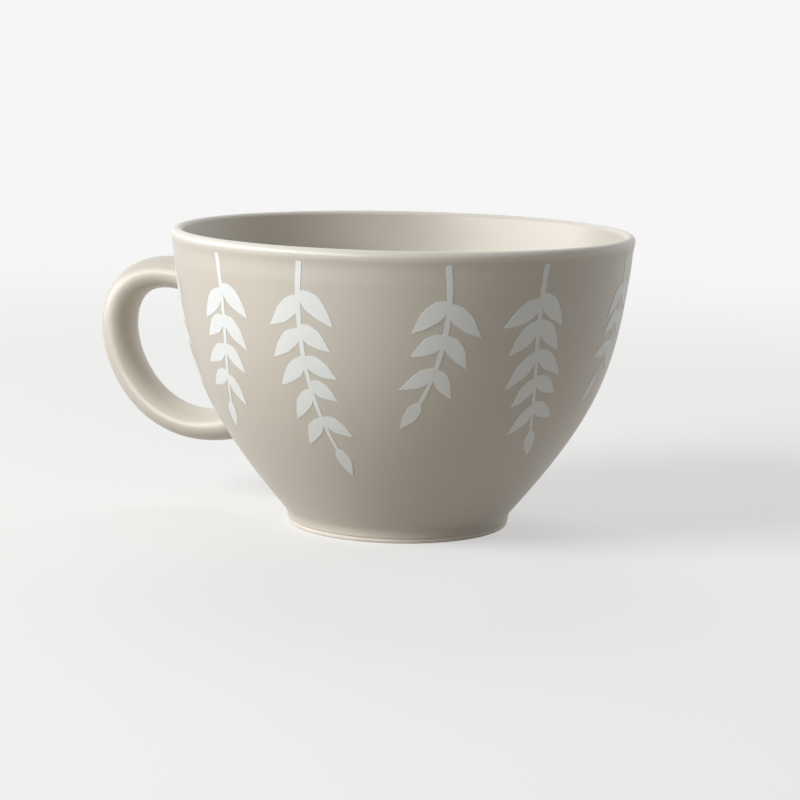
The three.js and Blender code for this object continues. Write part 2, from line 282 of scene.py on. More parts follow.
@dataclass(frozen=True)
class SatinGlaze:
    """Warm grey feldspar glaze on porcelain, sprayed on and fired to a satin surface.

    Fine crystals in the glass spread each highlight into a soft sheen. The coat lies in broad, barely seen
    clouds, flows out in long low waves, and thins over the lip, where the white clay lightens it. The lighter
    lip is also partly a painted highlight of the light that catches it.
    """

    base: str = "#CDC7BC"
    cloud: str = "#C7C1B5"
    # lighter colour over the lip: partly the thinner coat, partly a painted highlight of the lit lip
    thin_and_highlight: str = "#DFDBD2"
    cloud_size: float = 26.0
    wave_size: float = 16.0
    wave_height: float = 0.03
    tooth_size: float = 0.9  # the crystals are far finer, so they are drawn this coarse to show at all
    tooth_height: float = 0.0012
    smoothest: float = 0.32
    roughest: float = 0.4
    ior: float = 1.5

    def material(self) -> Material:
        """Builds the node material.

        Returns:
            The glaze.
        """
        material, tree = new_material("satin_glaze_sprayed_and_fired")
        place = add_node(tree, "ShaderNodeTexCoord").outputs["Object"]
        clouds = add_node(
            tree,
            "ShaderNodeTexNoise",
            {"Vector": place, "Scale": per_metre(self.cloud_size), "Detail": 3.0, "Roughness": 0.45},
        )
        tone = add_node(
            tree,
            "ShaderNodeMix",
            {MIX_SHARE: clouds.outputs["Fac"], MIX_FIRST: linear(self.base), MIX_SECOND: linear(self.cloud)},
            data_type="RGBA",
        )
        # mixes in the lip's lighter colour: partly the thinner coat, partly a painted highlight
        thin_and_highlight = add_node(tree, "ShaderNodeAttribute", attribute_name=THIN_AND_HIGHLIGHT)
        colour = add_node(
            tree,
            "ShaderNodeMix",
            {
                MIX_SHARE: thin_and_highlight.outputs["Fac"],
                MIX_FIRST: tone.outputs[MIX_RESULT],
                MIX_SECOND: linear(self.thin_and_highlight),
            },
            data_type="RGBA",
        )
        waves = add_node(
            tree, "ShaderNodeTexNoise", {"Vector": place, "Scale": per_metre(self.wave_size), "Detail": 1.0}
        )
        flow = add_node(
            tree, "ShaderNodeBump", {"Height": waves.outputs["Fac"], "Distance": self.wave_height * MM}
        )
        tooth = add_node(
            tree, "ShaderNodeTexNoise", {"Vector": place, "Scale": per_metre(self.tooth_size), "Detail": 2.0}
        )
        grain = add_node(
            tree,
            "ShaderNodeBump",
            {
                "Height": tooth.outputs["Fac"],
                "Distance": self.tooth_height * MM,
                "Normal": flow.outputs["Normal"],
            },
        )
        sheen = add_node(
            tree,
            "ShaderNodeMapRange",
            {"Value": waves.outputs["Fac"], "To Min": self.smoothest, "To Max": self.roughest},
        )
        shader = add_node(
            tree,
            "ShaderNodeBsdfPrincipled",
            {
                "Base Color": colour.outputs[MIX_RESULT],
                "Roughness": sheen.outputs["Result"],
                "IOR": self.ior,
                "Normal": grain.outputs["Normal"],
            },
        )
        add_node(tree, "ShaderNodeOutputMaterial", {"Surface": shader.outputs["BSDF"]})
        return material


@dataclass(frozen=True)
class WhiteTransfer:
    """White ceramic enamel, screen printed as a transfer and fired into the glaze.

    The film hides the grey nearly all over. Its ink lies a little unevenly, and it is a shade drier than the
    glaze around it.
    """

    base: str = "#EAEDEC"
    uneven: str = "#E2E6E5"
    ink_size: float = 4.5
    screen_size: float = 0.7  # the mesh of the screen is finer, so it is drawn this coarse to show at all
    screen_height: float = 0.002
    smoothest: float = 0.44
    roughest: float = 0.56
    ior: float = 1.5

    def material(self) -> Material:
        """Builds the node material.

        Returns:
            The enamel.
        """
        material, tree = new_material("white_enamel_transfer_fired")
        place = add_node(tree, "ShaderNodeTexCoord").outputs["Object"]
        ink = add_node(
            tree, "ShaderNodeTexNoise", {"Vector": place, "Scale": per_metre(self.ink_size), "Detail": 3.0}
        )
        colour = add_node(
            tree,
            "ShaderNodeMix",
            {MIX_SHARE: ink.outputs["Fac"], MIX_FIRST: linear(self.base), MIX_SECOND: linear(self.uneven)},
            data_type="RGBA",
        )
        screen = add_node(
            tree,
            "ShaderNodeTexNoise",
            {"Vector": place, "Scale": per_metre(self.screen_size), "Detail": 1.0},
        )
        grain = add_node(
            tree, "ShaderNodeBump", {"Height": screen.outputs["Fac"], "Distance": self.screen_height * MM}
        )
        dryness = add_node(
            tree,
            "ShaderNodeMapRange",
            {"Value": ink.outputs["Fac"], "To Min": self.smoothest, "To Max": self.roughest},
        )
        shader = add_node(
            tree,
            "ShaderNodeBsdfPrincipled",
            {
                "Base Color": colour.outputs[MIX_RESULT],
                "Roughness": dryness.outputs["Result"],
                "IOR": self.ior,
                "Normal": grain.outputs["Normal"],
            },
        )
        add_node(tree, "ShaderNodeOutputMaterial", {"Surface": shader.outputs["BSDF"]})
        return material


@dataclass(frozen=True)
class FiredClay:
    """Porcelain fired without glaze: matt, fine grained and a little warm.

    A wiped foot is dry to the eye, with a fine sandy tooth, and takes on grey dust where it rubs on a table.
    """

    name: str = "bare_porcelain_wiped_and_fired"
    base: str = "#EFE9DE"
    shade: str = "#E2DACC"
    dust: str = "#CFC7B9"
    dust_height: float = 0.5  # how far up from the table the foot is rubbed
    dust_cover: float = 0.6  # how much of the clay's own colour the dust hides at the table
    grain_size: float = 0.6
    grain_height: float = 0.012
    patch_size: float = 7.0
    roughness: float = 0.72
    ior: float = 1.52

    def material(self) -> Material:
        """Builds the node material.

        Returns:
            The clay.
        """
        material, tree = new_material(self.name)
        place = add_node(tree, "ShaderNodeTexCoord").outputs["Object"]
        patches = add_node(
            tree, "ShaderNodeTexNoise", {"Vector": place, "Scale": per_metre(self.patch_size), "Detail": 4.0}
        )
        clay = add_node(
            tree,
            "ShaderNodeMix",
            {MIX_SHARE: patches.outputs["Fac"], MIX_FIRST: linear(self.base), MIX_SECOND: linear(self.shade)},
            data_type="RGBA",
        )
        apart = add_node(tree, "ShaderNodeSeparateXYZ", {"Vector": place})
        rubbed = add_node(
            tree,
            "ShaderNodeMapRange",
            {
                "Value": apart.outputs["Z"],
                "From Min": self.dust_height * MM,
                "From Max": 0.0,
                "To Max": self.dust_cover,
            },
        )
        colour = add_node(
            tree,
            "ShaderNodeMix",
            {
                MIX_SHARE: rubbed.outputs["Result"],
                MIX_FIRST: clay.outputs[MIX_RESULT],
                MIX_SECOND: linear(self.dust),
            },
            data_type="RGBA",
        )
        sand = add_node(
            tree, "ShaderNodeTexNoise", {"Vector": place, "Scale": per_metre(self.grain_size), "Detail": 3.0}
        )
        grain = add_node(
            tree, "ShaderNodeBump", {"Height": sand.outputs["Fac"], "Distance": self.grain_height * MM}
        )
        shader = add_node(
            tree,
            "ShaderNodeBsdfPrincipled",
            {
                "Base Color": colour.outputs[MIX_RESULT],
                "Roughness": self.roughness,
                "IOR": self.ior,
                "Normal": grain.outputs["Normal"],
            },
        )
        add_node(tree, "ShaderNodeOutputMaterial", {"Surface": shader.outputs["BSDF"]})
        return material


@dataclass(frozen=True)
class CupWall:
    """The curve that the cup's finished outside follows from its foot ring up to its lip.

    It is a cubic Bezier curve that leaves the foot's corner at `bowl_angle` and reaches the lip leaning
    outwards by `rim_lean`. A shallow groove runs round it and sets off the lip.
    """

    height: float
    rim_radius: float
    rim_lean: float = 7.0
    rim_pull: float = 32.0
    lip_thickness: float = 2.8
    lip_taper: float = 14.0
    lip_last_step: float = 0.3
    thickness: float = 4.2
    bowl_angle: float = 50.0
    bowl_pull: float = 38.7
    foot_radius: float = 28.8
    foot_height: float = 3.0
    foot_fillet: float = 1.4
    groove_drop: float = 4.3
    groove_above: float = 2.5  # how far the groove runs up and down from its deepest line
    groove_below: float = 4.5
    groove_depth: float = 0.16
    wall_rows: int = 110
    groove_rows: int = 36
    groove_from: float = 0.9  # share of the curve above which the rows lie closer
    foot_rows: int = 10
    lip_rows: int = 40
    inside_rows: int = 90
    floor_rows: int = 45

    def curve(self, share: Array) -> tuple[Array, Array]:
        """Gives the curve without its groove.

        Args:
            share: Places from 0 at the foot's corner to 1 at the lip.

        Returns:
            The points and the unit tangents.
        """
        lean, rise = np.radians([self.rim_lean, self.bowl_angle])
        foot = np.array([self.foot_radius, self.foot_height])
        lip = self.lip_thickness / 2 * np.array([1 - math.cos(lean), 1 + math.sin(lean)])
        rim = np.array([self.rim_radius, self.height]) - lip
        from_foot = foot + self.bowl_pull * np.array([math.cos(rise), math.sin(rise)])
        to_rim = rim - self.rim_pull * np.array([math.sin(lean), math.cos(lean)])
        return bezier([foot, from_foot, to_rim, rim], share)

    def foot_share(self, length: float) -> float:
        """Share of the curve that a length near the foot takes: a cubic sets off at three pulls per share."""
        return length / (3 * self.bowl_pull)

    def under(self, share: Array, depth: float | Array) -> Array:
        """Gives the points that lie `depth` inside the curve, along its normal.

        Args:
            share: Places on the curve.
            depth: One depth, or one for each place.

        Returns:
            Rows of radius and height.
        """
        point, along = self.curve(share)
        outward = np.stack([along[:, 1], -along[:, 0]], axis=-1)
        return point - np.asarray(depth)[..., None] * outward

    def outside(self, depth: float) -> Array:
        """Gives the wall from the foot's fillet up to the lip, with the groove as a raised cosine.

        Args:
            depth: Depth under the finished outside.

        Returns:
            Rows of radius and height.
        """
        even = np.linspace(self.foot_share(self.foot_fillet), 1, self.wall_rows)
        share = np.unique(np.concatenate([even, np.linspace(self.groove_from, 1, self.groove_rows)]))
        from_groove = self.curve(share)[0][:, 1] - (self.height - self.groove_drop)
        reach = np.where(from_groove > 0, self.groove_above, self.groove_below)
        inside_groove = np.clip(from_groove / reach, -1, 1)
        return self.under(share, depth + self.groove_depth * np.cos(inside_groove * math.pi / 2) ** 2)

    def foot(self, depth: float) -> Array:
        """Gives the round between foot ring and wall, as a quadratic Bezier curve.

        Args:
            depth: Depth under the finished outside.

        Returns:
            Rows of radius and height, without the point that it shares with the wall.
        """
        side = self.foot_radius - depth
        turn = math.radians(90 - self.bowl_angle) / 2
        low = np.array([side, self.foot_height - self.foot_fillet])
        corner = np.array([side, self.foot_height + depth * math.tan(turn)])
        high = self.under(np.array([self.foot_share(self.foot_fillet)]), depth)[0]
        return bezier([low, corner, high], np.linspace(0, 1, self.foot_rows))[0][:-1]

    def lip(self, start: float, stop: float, depth: float) -> Array:
        """Gives a stretch of the lip's round, part of a circle.

        A short last step keeps the shading true at the end of the stretch.

        Args:
            start: Angle above the horizontal, from the middle of the lip, where the stretch starts.
            stop: Angle where it ends.
            depth: Depth under the finished lip.

        Returns:
            Rows of radius and height.
        """
        middle = self.under(np.array([1.0]), self.lip_thickness / 2)[0]
        reach = self.lip_thickness / 2 - depth
        last_step = math.copysign(self.lip_last_step, stop - start)
        angle = np.radians(np.append(np.linspace(start, stop - last_step, self.lip_rows), stop))
        return middle + reach * np.stack([np.cos(angle), np.sin(angle)], axis=-1)

    def inside(self, depth: float, floor: float, floor_round: float) -> Array:
        """Gives the inside from under the lip down to the middle of the floor.

        The wall thickens smoothly from the lip down, and a quadratic Bezier curve turns it into the floor.

        Args:
            depth: Depth under the finished inside.
            floor: Height of the finished floor.
            floor_round: How far up the wall the turn into the floor starts.

        Returns:
            Rows of radius and height.
        """
        share = np.linspace(1, self.foot_share(floor_round), self.inside_rows)
        to_lip = (self.height - self.curve(share)[0][:, 1]) / self.lip_taper
        thick = self.lip_thickness + (self.thickness - self.lip_thickness) * smooth_step(to_lip)
        wall = self.under(share, thick - depth)
        along = self.curve(share[-1:])[1][0]
        level = floor - depth
        corner = wall[-1] - along * (wall[-1, 1] - level) / along[1]
        turn = bezier([wall[-1], corner, np.array([0.0, level])], np.linspace(0, 1, self.floor_rows))[0]
        return np.vstack([wall[1:], turn[1:]])

    def radius(self, height: Array, depth: float = 0.0) -> Array:
        """Radius of the outside at each height, `depth` under the finished one."""
        wall = self.outside(depth)
        return np.interp(height, wall[:, 1], wall[:, 0])

    def lean(self, height: Array) -> Array:
        """How much the radius grows for each millimetre up the wall, at each height."""
        wall = self.outside(0)
        return np.interp(height, wall[:, 1], np.gradient(wall[:, 0], wall[:, 1]))


@dataclass(frozen=True)
class Cup:
    """The cast cup with its glaze coats, turned round the Z axis."""

    wall: CupWall
    glaze: float = 0.25
    glaze_line: float = 1.2
    glaze_roll: float = 0.35  # round edge that the wiped glaze draws back into
    foot_width: float = 3.4
    foot_edge: float = 0.6
    base_recess: float = 0.9
    base_thickness: float = 5.4
    floor_round: float = 10.0
    gap: float = 0.02  # between the glaze in the recess and the foot ring
    outside_thin_and_highlight: tuple[float, float] = (1.2, 3.0)  # from the crest of the lip down, where a coat thickens and the lip's painted highlight fades
    inside_thin_and_highlight: tuple[float, float] = (0.1, 1.3)
    segments: int = 224
    foot_edge_rows: int = 8
    coat_edge_rows: int = 6
    disc_rings: int = 12

    @property
    def floor(self) -> float:
        """Height of the finished floor inside."""
        return self.base_recess + self.base_thickness

    def outer_face(self, depth: float) -> Array:
        """Gives the outside from the wiped edge of the glaze to the crest of the lip.

        Args:
            depth: Depth under the finished outside.

        Returns:
            Rows of radius and height.
        """
        lip = self.wall.lip(-self.wall.rim_lean, 90, depth)
        return np.vstack([self.wall.foot(depth), self.wall.outside(depth), lip[1:]])

    def inner_face(self, depth: float) -> Array:
        """Gives the inside from the crest of the lip to the middle of the floor.

        Args:
            depth: Depth under the finished inside.

        Returns:
            Rows of radius and height.
        """
        lip = self.wall.lip(180 - self.wall.rim_lean, 90, depth)[::-1]
        return np.vstack([lip, self.wall.inside(depth, self.floor, self.floor_round)])

    def body(self) -> Surface:
        """Turns the porcelain body: underside, foot ring with rounded edges, wall, lip and inside.

        Returns:
            The surface.
        """
        outer = self.wall.foot_radius - self.glaze
        inner = self.wall.foot_radius - self.foot_width
        under = self.base_recess + self.glaze
        edge = self.foot_edge
        quarter = np.linspace(0, 1, self.foot_edge_rows)
        inner_edge = np.array([[inner, edge], [inner, 0.0], [inner + edge, 0.0]])
        outer_edge = np.array([[outer - edge, 0.0], [outer, 0.0], [outer, edge]])
        profile = np.vstack(
            [
                [[0.0, under], [inner, under]],
                bezier(inner_edge, quarter)[0],
                bezier(outer_edge, quarter)[0],
                self.outer_face(self.glaze),
                self.inner_face(self.glaze)[1:],
            ]
        )
        return Surface.turned(profile, self.segments)

    def outside_coat(self) -> Surface:
        """Turns the outside glaze: a closed coat with a rolled edge where it was wiped off the foot.

        Returns:
            The surface.
        """
        side = self.wall.foot_radius
        low = self.glaze_line
        edge = np.array([[side - self.glaze, low], [side, low], [side, low + self.glaze_roll]])
        roll = bezier(edge, np.linspace(0, 1, self.coat_edge_rows))[0][:-1]
        hidden = self.outer_face(self.glaze)[::-1]
        return Surface.turned(np.vstack([roll, self.outer_face(0), hidden]), self.segments)

    def inside_coat(self) -> Surface:
        """Turns the inside glaze: a closed coat from the middle of the floor to the crest of the lip."""
        hidden = self.inner_face(self.glaze)[::-1]
        return Surface.turned(np.vstack([hidden, self.inner_face(0)]), self.segments)

    def underside_coat(self) -> Surface:
        """Turns the glaze in the recess: a flat disc with a rounded lower edge.

        Returns:
            The surface.
        """
        low = self.base_recess
        high = low + self.glaze
        side = self.wall.foot_radius - self.foot_width - self.gap
        edge = np.array([[side - self.glaze, low], [side, low], [side, high]])
        rounded = bezier(edge, np.linspace(0, 1, self.coat_edge_rows))[0]
        rings = np.linspace(0, side - self.glaze, self.disc_rings)[:-1]
        flat = np.stack([rings, np.full_like(rings, low)], axis=-1)
        return Surface.turned(np.vstack([flat, rounded, [[0.0, high]]]), self.segments)

    def build(self, glaze: Material, clay: Material) -> None:
        """Makes and dresses the cup's pieces, and marks on each coat's points how thinly it lies near the
        lip.

        The same share also lays a painted highlight on the lip.

        Args:
            glaze: Finish of the coats.
            clay: Finish of the body.
        """
        self.body().piece("cast_cup", "cup_body", Slot.PORCELAIN, clay)
        coats = {
            "outside_glaze": (self.outside_coat(), self.outside_thin_and_highlight),
            "inside_glaze": (self.inside_coat(), self.inside_thin_and_highlight),
            "underside_glaze": (self.underside_coat(), self.inside_thin_and_highlight),
        }
        for node, (surface, (least, most)) in coats.items():
            made = surface.piece(f"{node}_coat", node, Slot.GLAZE, glaze)
            drop = self.wall.height - surface.points[:, 2]
            # share that is lighter near the lip: partly the thinner coat, partly a painted highlight
            thin_and_highlight = 1 - smooth_step((drop - least) / (most - least))
            attribute = made.data.attributes.new(THIN_AND_HIGHLIGHT, "FLOAT", "POINT")
            attribute.data.foreach_set("value", thin_and_highlight.astype(np.float32))


@dataclass(frozen=True)
class Handle:
    """The cast handle, its two slip joints and its glaze.

    The loop is a cubic Bezier curve in the XZ plane from the upper root to the lower one. An oval section is
    carried along it, flares a little towards the wall and runs out onto the wall in a fillet.
    """

    wall: CupWall
    drop: float = 16.3  # of the upper root, from the lip
    bottom: float = 23.1  # height of the lower root
    top_rise: float = 15.3
    top_pull: float = 43.7
    bottom_drop: float = 21.4
    bottom_pull: float = 42.3
    thickness: float = 8.4
    width: float = 12.9
    root_flare: float = 0.4
    flare_length: float = 14.0
    root_length: float = 2.8
    root_spread: float = 1.5
    glaze: float = 0.25
    slip: float = 0.5
    slip_edge: float = 0.12
    sink: float = 0.04  # how far the glaze's edge runs into the cup's glaze, so that no crack shows
    columns: int = 72
    strap_rows: int = 140
    root_rows: int = 24
    curve_steps: int = 2001
    length_steps: int = 400
    search_steps: int = 40

    def loop(self, share: Array) -> tuple[Array, Array]:
        """Follows the loop by length.

        Args:
            share: Shares of the loop's length, from the upper root to the lower one.

        Returns:
            Rows of radius and height, and the unit tangents.
        """
        rise, fall = np.radians([self.top_rise, self.bottom_drop])
        heights = np.array([self.wall.height - self.drop, self.bottom])
        upper, lower = np.stack([self.wall.radius(heights), heights], axis=-1)
        from_upper = upper + self.top_pull * np.array([math.cos(rise), math.sin(rise)])
        to_lower = lower + self.bottom_pull * np.array([math.cos(fall), -math.sin(fall)])
        corners = [upper, from_upper, to_lower, lower]
        fine = np.linspace(0, 1, self.curve_steps)
        steps = np.linalg.norm(np.diff(bezier(corners, fine)[0], axis=0), axis=-1)
        travelled = np.concatenate([[0.0], np.cumsum(steps)])
        return bezier(corners, np.interp(share * travelled[-1], travelled, fine))

    @property
    def length(self) -> float:
        """Length of the loop's middle line."""
        points = self.loop(np.linspace(0, 1, self.length_steps))[0]
        return float(np.linalg.norm(np.diff(points, axis=0), axis=-1).sum())

    def sections(self, share: Array, grow: float) -> Array:
        """Gives oval sections: the middle, plus cosine across the loop's plane, plus sine along Y.

        Args:
            share: Shares of the loop's length.
            grow: How much each section grows all round.

        Returns:
            Grid of points, sections by columns by three.
        """
        middle, along = self.loop(share)
        from_wall = np.minimum(share, 1 - share) * self.length
        flare = self.root_flare * np.clip(1 - from_wall / self.flare_length, 0, None) ** 2
        flat = np.zeros(len(share))
        centre = np.stack([-middle[:, 0], flat, middle[:, 1]], axis=-1)
        across = np.stack([along[:, 1], flat, along[:, 0]], axis=-1)
        sideways = np.array([0.0, 1.0, 0.0])
        angle = np.linspace(0, 2 * math.pi, self.columns, endpoint=False)[None, :, None]
        half_across = (self.thickness / 2 + flare + grow)[:, None, None]
        half_sideways = (self.width / 2 + flare + grow)[:, None, None]
        return (
            centre[:, None, :]
            + half_across * np.cos(angle) * across[:, None, :]
            + half_sideways * np.sin(angle) * sideways
        )

    def to_wall(self, points: Array, outward: Array, depth: float) -> Array:
        """Slides points along a line until they lie on the wall, halving the search each time.

        Args:
            points: Rows of points.
            outward: Direction that leaves the wall.
            depth: Depth under the wall's finished outside.

        Returns:
            The points on the wall.
        """
        inside = np.full(len(points), -self.wall.rim_radius)
        outside = -inside
        for _ in range(self.search_steps):
            middle = (inside + outside) / 2
            at = points + middle[:, None] * outward
            within = np.hypot(at[:, 0], at[:, 1]) < self.wall.radius(at[:, 2], depth)
            inside = np.where(within, middle, inside)
            outside = np.where(within, outside, middle)
        return points + inside[:, None] * outward

    def root(self, end: Root, depth: float, spread: float, edge: float) -> Array:
        """Gives the rings of one root, from the wall out to where its fillet starts.

        Each column is a quadratic Bezier curve. It leaves the wall along its surface, turns at the point
        where the section would meet the wall, and joins the loop along its length.

        Args:
            end: Which root.
            depth: Depth under the finished handle.
            spread: How far the fillet spreads on the wall.
            edge: Height above the wall at which the fillet runs out.

        Returns:
            Grid of points, rings by columns by three.
        """
        share = np.array([end.value])
        near = self.root_length / self.length
        along = self.loop(share)[1][0]
        sign = 1 if end is Root.UPPER else -1
        outward = sign * np.array([-along[0], 0.0, along[1]])
        start = self.sections(np.abs(share - near), -depth)[0]
        corner = self.to_wall(self.sections(share, -depth)[0], outward, depth - edge)
        foot = self.to_wall(self.sections(share, spread - depth)[0], outward, depth - edge)
        return bezier([foot, corner, start], np.linspace(0, 1, self.root_rows)[:, None])[0]

    def whole(self, depth: float, spread: float, edge: float) -> Array:
        """Gives the rings of the whole handle, from the upper edge on the wall to the lower one.

        Args:
            depth: Depth under the finished handle.
            spread: How far the roots spread on the wall.
            edge: Height above the wall at which the fillets run out.

        Returns:
            Grid of points, rings by columns by three.
        """
        near = self.root_length / self.length
        strap = self.sections(np.linspace(near, 1 - near, self.strap_rows), -depth)
        upper = self.root(Root.UPPER, depth, spread, edge)
        lower = self.root(Root.LOWER, depth, spread, edge)[::-1]
        return np.vstack([upper, strap[1:-1], lower])

    def core(self) -> Surface:
        """Skins the cast porcelain loop, which ends on the layer of slip at each root."""
        return Surface.capped(self.whole(self.glaze, 0.0, self.slip))

    def joint(self, end: Root) -> Surface:
        """Skins one slip joint: the wall, out and up its fillet, down the handle's root and over its end.

        Args:
            end: Which root.

        Returns:
            The surface.
        """
        fillet = self.root(end, self.glaze, self.root_spread, self.slip_edge)
        seat = self.root(end, self.glaze, 0.0, self.slip)[::-1]
        rings = np.vstack([fillet, seat[1:]])
        return Surface.capped(rings if end is Root.UPPER else rings[::-1])

    def coat(self) -> Surface:
        """Skins the handle's glaze: over the finished surface from root to root and back underneath.

        Returns:
            The surface.
        """
        finished = self.whole(0.0, self.root_spread, -self.sink)
        hidden = self.whole(self.glaze, self.root_spread, self.slip_edge)[::-1]
        return Surface.skin(np.vstack([finished, hidden]))

    def build(self, glaze: Material, clay: Material, slip: Material) -> None:
        """Makes and dresses the handle's pieces.

        Args:
            glaze: Finish of the coat.
            clay: Finish of the cast loop.
            slip: Finish of the joints.
        """
        self.core().piece("cast_handle", "handle", Slot.PORCELAIN, clay)
        for end in Root:
            node = f"{end.name.lower()}_handle_joint"
            self.joint(end).piece(f"{node}_slip", node, Slot.SLIP, slip)
        self.coat().piece("handle_glaze_coat", "handle_glaze", Slot.GLAZE, glaze)


@dataclass(frozen=True)
class LeafPrint:
    """The white transfers: sprigs of paired leaves that hang from a line under the lip.

    A sprig is drawn flat, across and up, in the plane that faces the cup's axis, and is laid onto the wall
    along that plane's normal. Its leaves differ a little in length, turn and outline, as cut leaves do.
    """

    wall: CupWall
    count: int = 11
    short_stem: float = 29.0
    long_stem: float = 46.0
    kinds: int = 5  # lengths of stem, from short to long
    kind_steps: int = 2  # how many of them it is from one sprig to the next
    sway: float = 5.0
    margin: float = 3.2  # from the crest of the lip down to the stems
    clear_angle: float = 30.0  # from the handle to the first sprig on either side
    stem_width: float = 1.5
    stem_tip: float = 0.8
    leaf_length: float = 12.0
    leaf_width: float = 4.8
    leaf_spacing: float = 6.8
    leaf_angle: float = 46.0
    tip_leaf_ratio: float = 0.68
    belly: float = 0.75  # below 1, a leaf is broadest nearer its base
    stalk_share: float = 0.2  # share of a leaf along which its stalk runs out
    unlikeness: tuple[float, ...] = (0.06, 0.06, 0.05, 0.08)  # of leaves in length, turn, bend and halves
    stagger: float = 0.012  # how far the leaves of a pair are apart on the stem, as a share of its length
    ripples: tuple[tuple[float, float], ...] = ((2.5, 0.03), (8.0, 0.02))  # waves along a leaf, and sizes
    film: float = 0.08
    stem_film: float = 0.07
    sunk: float = 0.03  # how far the underside of the film lies in the glaze
    seed: int = 12
    leaf_rows: int = 44
    stem_rows: int = 60
    film_columns: int = 7

    def onto_wall(self, drawn: Array, azimuth: float) -> Array:
        """Lays drawn points onto the wall.

        A point keeps its place across and up. Its distance from the axis is the wall's radius at its height,
        and its lift is added along the wall's normal.

        Args:
            drawn: Points as across, up and lift, on the last axis.
            azimuth: Direction of the drawing's plane from the axis, anticlockwise from +X.

        Returns:
            Points in the mug's frame, in the same grid.
        """
        across, up, lift = np.moveaxis(drawn, -1, 0)
        radius = self.wall.radius(up)
        lean = self.wall.lean(up)
        turn = math.radians(azimuth) + np.arcsin(across / radius)
        tilt = np.hypot(1, lean)
        reach = radius + lift / tilt
        return np.stack([reach * np.cos(turn), reach * np.sin(turn), up - lift * lean / tilt], axis=-1)

    def strip(self, middle: Array, left: Array, right: Array, film: float, azimuth: float) -> Surface:
        """Skins a flat film along a drawn line.

        Its top runs from the left edge to the right one, and its underside runs back.

        Args:
            middle: Rows of across and up, along the line.
            left: Half width to the left of the line, for each row.
            right: Half width to its right.
            film: Thickness of the film.
            azimuth: Direction of the drawing's plane from the axis.

        Returns:
            The film on the wall.
        """
        along = np.gradient(middle, axis=0)
        along /= np.linalg.norm(along, axis=-1, keepdims=True)
        side = np.stack([-along[:, 1], along[:, 0]], axis=-1)
        top = np.linspace(1, -1, self.film_columns)
        across = np.concatenate([top, top[::-1]])
        lift = np.repeat([film, -self.sunk], self.film_columns)
        half = np.where(across > 0, left[:, None], right[:, None])
        flat = middle[:, None, :] + (half * across)[:, :, None] * side[:, None, :]
        lifts = np.broadcast_to(lift[None, :, None], (*flat.shape[:2], 1))
        rings = self.onto_wall(np.concatenate([flat, lifts], axis=-1), azimuth)
        ends = self.onto_wall(np.column_stack([middle[[0, -1]], np.zeros(2)]), azimuth)
        return Surface.skin(rings, (ends[:1], ends[1:]))

    def edge(self, share: Array, draw: Generator) -> Array:
        """Gives the wobble of a leaf's edge: 1 plus a few sine waves along the leaf, each with a drawn start.

        Args:
            share: Places along the leaf.
            draw: Source of the waves' starts.

        Returns:
            A factor for the leaf's width at each place.
        """
        starts = draw.uniform(0, 2 * math.pi, len(self.ripples))
        counts, sizes = np.transpose(self.ripples)
        return 1 + np.sin(2 * math.pi * share[:, None] * counts + starts) @ sizes

    def leaf(self, base: Array, heading: float, size: float, draw: Generator, azimuth: float) -> Surface:
        """Draws one leaf along a bent midrib, with half widths that follow half a sine wave to a pointed tip.

        Args:
            base: Place on the stem, across and up.
            heading: Direction of the leaf, as an angle from the across direction.
            size: Size against the largest leaf.
            draw: Source of the small differences between leaves.
            azimuth: Direction of the drawing's plane from the axis.

        Returns:
            The leaf on the wall.
        """
        longer, turned, bent, lopsided = draw.normal(0, self.unlikeness)
        length = self.leaf_length * size * (1 + longer)
        angle = heading + turned
        share = np.linspace(0, 1, self.leaf_rows)
        forward = np.array([math.cos(angle), math.sin(angle)])
        sideways = np.array([-forward[1], forward[0]])
        tip = base + length * forward
        bend = base + length * (forward / 2 + bent * sideways)
        middle = bezier([base, bend, tip], share)[0]
        half = self.leaf_width / 2 * size * np.sin(math.pi * share**self.belly)
        stalk = self.stem_tip / 2 * np.clip(1 - share / self.stalk_share, 0, 1)
        left = np.maximum(half * self.edge(share, draw) * (1 + lopsided), stalk)
        right = np.maximum(half * self.edge(share, draw) * (1 - lopsided), stalk)
        return self.strip(middle, left, right, self.film, azimuth)

    def sprig(self, index: int) -> Surface:
        """Draws one sprig: a curved stem that narrows, a pair of leaves at each step and one leaf at its tip.

        Args:
            index: Which sprig, from 0.

        Returns:
            The sprig on the wall.
        """
        draw = default_rng([self.seed, index])
        azimuth = 180 + self.clear_angle + index * (360 - 2 * self.clear_angle) / (self.count - 1)
        kind = (index * self.kind_steps) % self.kinds / (self.kinds - 1)
        length = self.short_stem + (self.long_stem - self.short_stem) * kind
        sway = self.sway if index % 2 == 0 else -self.sway
        top = self.wall.height - self.margin
        line = np.array([[-sway / 2, top], [-sway, top - length / 2], [sway / 2, top - length]])
        share = np.linspace(0, 1, self.stem_rows)
        half = (self.stem_width + (self.stem_tip - self.stem_width) * share) / 2
        films = [self.strip(bezier(line, share)[0], half, half, self.stem_film, azimuth)]
        pairs = math.floor(length / self.leaf_spacing)
        turn = math.radians(self.leaf_angle)
        leaves = [(step / pairs, side) for step in range(1, pairs) for side in (turn, -turn)] + [(1.0, 0.0)]
        for at, side in leaves:
            place = at + draw.normal(0, self.stagger) * (side != 0)
            base, along = (row[0] for row in bezier(line, np.array([place])))
            size = 1 + (self.tip_leaf_ratio - 1) * at
            heading = math.atan2(along[1], along[0])
            films.append(self.leaf(base, heading + side, size, draw, azimuth))
        return Surface.joined(films)

    def build(self, enamel: Material) -> None:
        """Makes and dresses the transfers.

        Args:
            enamel: Finish of the print.
        """
        for index in range(self.count):
            node = f"print_sprig_{index + 1}"
            self.sprig(index).piece(f"{node}_transfer", node, Slot.PRINT, enamel)


